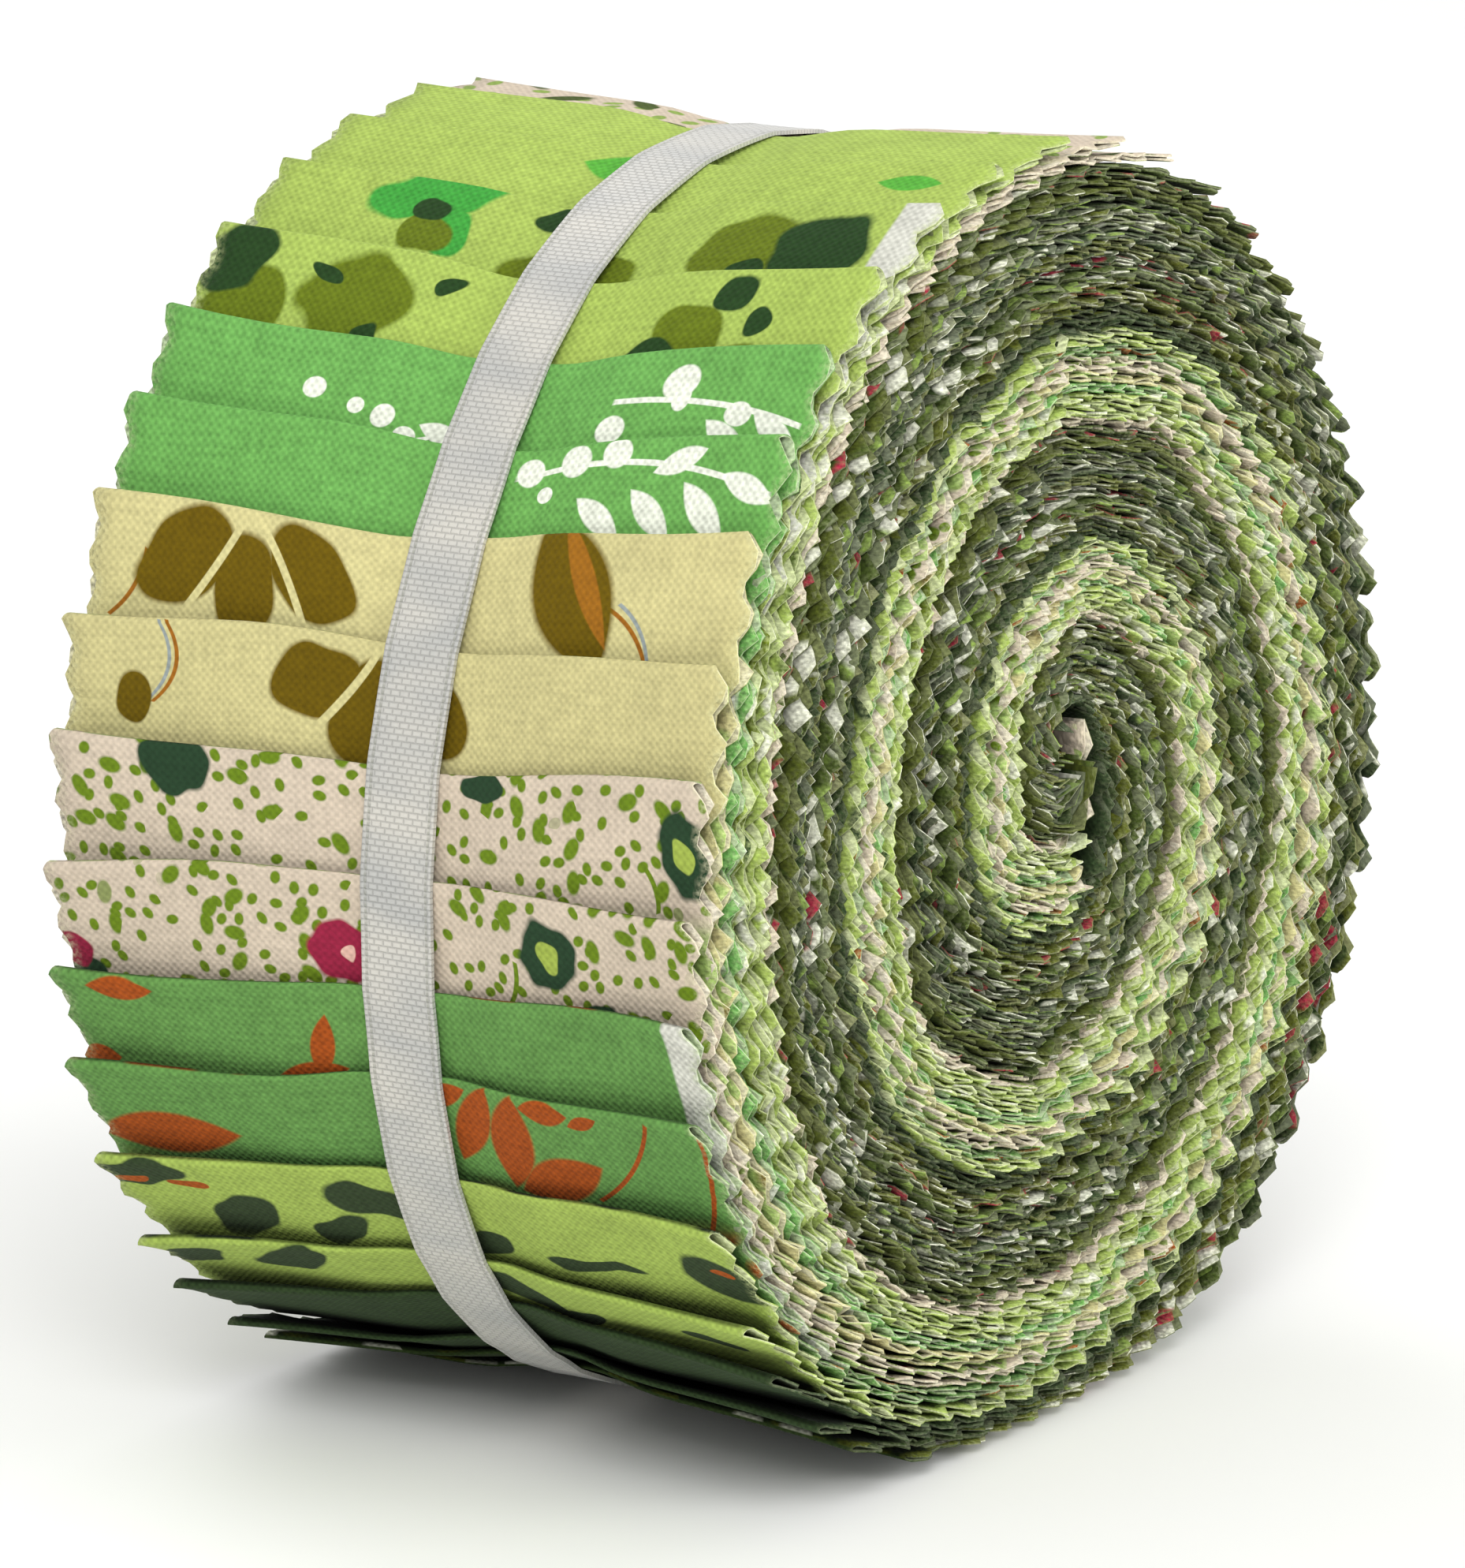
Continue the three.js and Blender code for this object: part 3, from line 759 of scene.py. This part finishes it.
def ditsy(finish, point, shown, ground):
    """Small dashes all over, with a few ring flowers."""
    dash, ring, eye = paint("66801c"), paint("27402a"), paint("9aad4c")
    red, seed = paint("932440"), paint("d8b0a0")
    small, large = finish.dots(point, 2.0, 0.74, 0.22, 1.35), finish.dots(point, 3.0, 0.4, 0.22, 1.6, 5.0)
    colour = finish.mix(small | large, plain(finish, point, shown, ground), dash)
    flowers = on(0, (20.5, 1.2, 3.4, 2.6, 0), (-9, 0.8, 2.4, 1.2, 0), (-29.6, 5.4, 2.6, 3.6, 20))
    flowers += on(1, (-16.4, 4.6, 2.9, 3.1, 15), (-21, 9.6, 2.6, 1.5, 0), (31, 9.8, 2.2, 1.6, 0))
    eyes = on(0, (-29.4, 5.4, 0.9, 1.6, 20)) + on(1, (-16.4, 4.6, 1.1, 1.5, 15))
    reds = on(1, (5.2, 6.8, 3.0, 2.8, 0), (31.2, 7.8, 1.8, 1.8, 0))
    seeds = on(1, (4.6, 7.0, 0.7, 0.7, 0))
    layers = (ring, flowers), (eye, eyes), (red, reds), (seed, seeds)
    colour = stamped(finish, finish.blob, ragged(finish, point, 2.2, 1.4), colour, *layers)
    lines = (-12, SECOND_STRIP + 8, 2.6, 70, 0.2), (-26, 8.4, 2.2, 110, 0.2)
    colour = finish.mix(stems(finish, point, *lines), colour, dash)
    for tint, *scatter in (SPROUT, 4.2, 0.6, 0.42, 1.3, 2.0), (red, 9.0, 0.3, 0.2, 1.1, 7.0):
        colour = finish.mix(finish.dots(point, *scatter) * (1 - shown), colour, tint)
    return colour


def rust_leaves(finish, point, shown, ground):
    """Spiky rust leaves on long thin stems."""
    rust = paint("9c4a18")
    spikes = on(0, (26, 0.8, 3.2, 1.2, 0), (7.8, 6.0, 3.4, 1.1, 75), (9.4, 8.8, 3.6, 1.2, 10))
    spikes += on(0, (30.5, 8.6, 2.0, 1.2, 0))
    spikes += on(1, (25.5, 7.6, 7.6, 2.6, 5), (-6.4, 4.0, 5.2, 1.7, 60), (-10.4, 5.0, 5.6, 2.3, 75))
    spikes += on(1, (-14.6, 8.2, 5.4, 2.3, 25), (-3.4, 1.6, 3.2, 1.2, 20), (-15.0, 0.8, 2.6, 1.3, 0))
    spikes += on(1, (-19, 1.2, 1.8, 0.7, 20))
    lines = (-22, SECOND_STRIP + 5, 6.5, 50, 0.17, 0.15), (-30, SECOND_STRIP + 6, 6.5, 75, 0.2, 0.1)
    colour = plain(finish, point, shown, ground)
    drawn = union(finish, finish.leaf, point, spikes) | stems(finish, point, *lines)
    deep = flecked(finish, point, colour, (rust, 7.0, 0.45, 0.25, 2.2))
    return finish.mix(shown, deep, finish.mix(drawn, colour, rust))


def dark_leaves(finish, point, shown, ground):
    """Broad dark leaves with small rust touches."""
    dark, rust = paint("34432a"), paint("a0501c")
    leaves = on(0, (29, 1.6, 5.0, 1.9, 10), (21, 7.6, 4.6, 2.6, 35), (6, 4.4, 5.6, 2.2, -15))
    leaves += on(0, (-2, 8.8, 4.2, 1.8, 20), (-15, 8.4, 5.6, 0.9, 6), (-29, 6.4, 4.6, 3.0, -20))
    leaves += on(0, (11.5, 8.4, 3.4, 1.8, 40))
    leaves += on(1, (29.6, 4, 4.6, 1.8, 15), (18, 2.6, 5.0, 2.0, 25), (-4, 4.4, 5.4, 2.2, -35))
    leaves += on(1, (-10, 6.8, 3.4, 1.3, 30), (-24, 5.2, 3.2, 1.2, -20))
    touches = on(0, (30, 2.6, 1.6, 0.6, 10), (24.5, 3.2, 1.8, 0.6, -10), (-29.5, 5.2, 1.4, 0.5, 0))
    colour = plain(finish, point, shown, ground)
    deep = flecked(finish, point, colour, (dark, 7.0, 0.55, 0.3, 1.6))
    loose = ragged(finish, point, 3.5, 2.0)
    return finish.mix(shown, deep, stamped(finish, finish.blob, loose, colour, (dark, leaves), (rust, touches)))


LIME, GRASS, CREAM, BLUSH = paint("a3ba5a"), paint("6ba754"), paint("cac28a"), paint("cfc0ac")
FOREST, OLIVE, MOSS, PINE = paint("324427"), paint("5a621c"), paint("44541f"), paint("2c3c1a")
PALE, CRIMSON, SAGE, SPROUT = paint("e2e3d0"), paint("a02840"), paint("87a04c"), paint("a5c26c")

# The stack's fabrics in order, two strips of each: name, ground, print, the back's paleness, and where a
# selvedge was left unprinted.
FABRICS = [
    ("lime_quiet", LIME, quiet_leaves, 0.45, None),
    ("lime_pebble", LIME, pebble_leaves, 0.45, (-33, -28.0, 0)),
    ("grass_sprig", GRASS, white_sprigs, 0.5, None),
    ("cream_petal", CREAM, brown_petals, 0.5, None),
    ("blush_ditsy", BLUSH, ditsy, 0.5, None),
    ("grass_rust", paint("63914b"), rust_leaves, 0.45, (-33, -28.6, 0)),
    ("lime_dark_leaf", LIME, dark_leaves, 0.5, None),
    ("forest_plain", FOREST, plain, 0.08, None),
    ("forest_shade", PINE, speckled(OLIVE, PALE, 4.0, 0.4, 1.6, 0.0), 0.08, None),
    ("olive_twist", OLIVE, speckled(PALE, SAGE, 3.6, 0.4), 0.2, None),
    ("olive_fleck", OLIVE, speckled(PALE, CRIMSON, 3.8, 0.62), 0.12, None),
    ("moss_leaf", MOSS, speckled(SAGE, PALE, 5.0, 0.55, 2.0), 0.15, None),
    ("pine_fleck", PINE, speckled(PALE, CRIMSON, 3.6, 0.58, 1.3), 0.12, None),
    ("olive_leaf", OLIVE, speckled(PINE, PALE, 4.6, 0.55, 2.0), 0.15, None),
    ("forest_dot", FOREST, speckled(PALE, SAGE, 3.4, 0.62, 1.2), 0.15, None),
    ("moss_dash", MOSS, speckled(PALE, OLIVE, 3.8, 0.6, 1.6), 0.3, None),
    ("pine_sprig", PINE, speckled(SAGE, PALE, 4.0, 0.55, 2.2), 0.12, None),
    ("olive_plain", paint("505a1e"), speckled(MOSS, PALE, 5.0, 0.4, 1.4), 0.08, None),
    ("moss_dot", MOSS, speckled(CRIMSON, PALE, 4.2, 0.3, 1.2), 0.15, None),
    ("blush_line", BLUSH, speckled(SAGE, MOSS, 4.4, 0.5, 1.8), 0.4, None),
]


def satin():
    """Pale woven ribbon: small bricks of floats, and a stitched line inside each selvedge."""
    finish = Finish("satin_ribbon", roughness=0.42, sheen_weight=0.3)
    across, along, _ = finish.parts(finish.fact("weave"))
    brick, course = 0.9, 0.52
    shift = ((along / course).sum("FLOOR") * 0.5).sum("FRACT")
    bricks = ((across / brick + shift).sum("FRACT") - 0.5, (along / course).sum("FRACT") - 0.5)
    edge = finish.ramp(abs(bricks[0]), 0.5, 0.36) & finish.ramp(abs(bricks[1]), 0.5, 0.3)
    stitch = 0.4 + 0.6 * finish.ramp(bricks[1], -0.2, 0.2)
    seam = finish.ramp(abs(abs(across) - SEAM_ACROSS), 0.16, 0.08) * stitch
    point = finish.vector(across * 0.5, along)
    beneath = finish.noise(point, 0.16, 2.0)
    colour = finish.mix(finish.ramp(beneath, 0.35, 0.65), paint("c1beb5"), paint("acaca8"))
    wear = finish.noise(point, 2.2, 2.0)
    colour = finish.dimmed(colour, 0.74 + edge * 0.24 + wear * 0.14)
    colour = finish.mix(seam * 0.55, colour, paint("7f8171"))
    finish.feed(finish.shader.inputs["Base Color"], colour)
    height = edge * 0.12 - seam * 0.15
    bump = finish.node("ShaderNodeBump", {}, {"Strength": 0.7, "Distance": MM, "Height": height}, "Normal")
    finish.feed(finish.shader.inputs["Normal"], bump)
    return finish.material


# Stage
def stage():
    finish = Finish("pale_floor", roughness=0.9)
    spot = finish.node("ShaderNodeTexCoord", {}, {}, "Object")
    cloud = finish.noise(spot, 3.0, 2.0)
    finish.feed(finish.shader.inputs["Base Color"], finish.mix(cloud, paint("f4f4f2"), paint("f0f0ee")))
    bpy.ops.mesh.primitive_circle_add(vertices=96, radius=6, fill_type="NGON", location=(0, 0, 0))
    floor = bpy.context.object
    floor.name = "floor"
    floor.data.materials.append(finish.material)
    world = bpy.data.worlds.new("soft_white")
    bpy.context.scene.world = world
    world.use_nodes = True
    world.node_tree.nodes["Background"].inputs["Color"].default_value = (1, 1, 1, 1)
    world.node_tree.nodes["Background"].inputs["Strength"].default_value = 0.8
    bpy.context.scene.view_settings.view_transform = "Standard"
    aim = Vector((0, 0, FLAT_HEIGHT * MM))
    for name, place, size, power in (
        ("key", (-0.9, -0.55, 1.0), 0.7, 10),
        ("front", (0.35, -1.3, 0.5), 0.8, 9),
        ("rear", (0.6, 1.0, 0.9), 0.8, 4),
    ):
        light = bpy.data.lights.new(name, "AREA")
        light.size, light.energy = size, power
        lamp = bpy.data.objects.new(name, light)
        lamp.location = place
        lamp.rotation_euler = (aim - lamp.location).to_track_quat("-Z", "Y").to_euler()
        bpy.context.scene.collection.objects.link(lamp)


def camera():
    """The photograph's view: from the left of the spiral face and a little above."""
    azimuth, elevation, distance = math.radians(-57.4), math.radians(13.1), 700.0
    scale, height = 14.68, 1988  # pixels of the photograph: for a millimetre at the winding axis, and its height
    aim = np.array([-6.5, -0.8, -0.2]) + AXIS
    level = math.cos(elevation)
    back = Vector((math.sin(azimuth) * level, -math.cos(azimuth) * level, math.sin(elevation)))
    made = bpy.data.cameras.new("view")
    made.sensor_fit, made.sensor_height = "VERTICAL", 36
    made.lens = scale * distance * made.sensor_height / height
    made.clip_start = 0.01
    viewer = bpy.data.objects.new("view", made)
    right = (-back).cross(Vector((0, 0, 1))).normalized()
    turn = Matrix((right, right.cross(-back), back)).transposed()
    viewer.matrix_world = Matrix.Translation(Vector(aim * MM) + back * distance * MM) @ turn.to_4x4()
    bpy.context.scene.collection.objects.link(viewer)
    bpy.context.scene.camera = viewer


camera()
stage()
for order, (name, ground, printed, pale, bleached) in enumerate(FABRICS):
    piece = fabric_piece(name, (2 * order, 2 * order + 1))
    piece.data.materials.append(cotton(name, ground, printed, pale, bleached))
    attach(piece, "root")
    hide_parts("strip_roll")
band = ribbon_piece()
band.data.materials.append(satin())
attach(band, "root")
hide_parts("tie_ribbon")
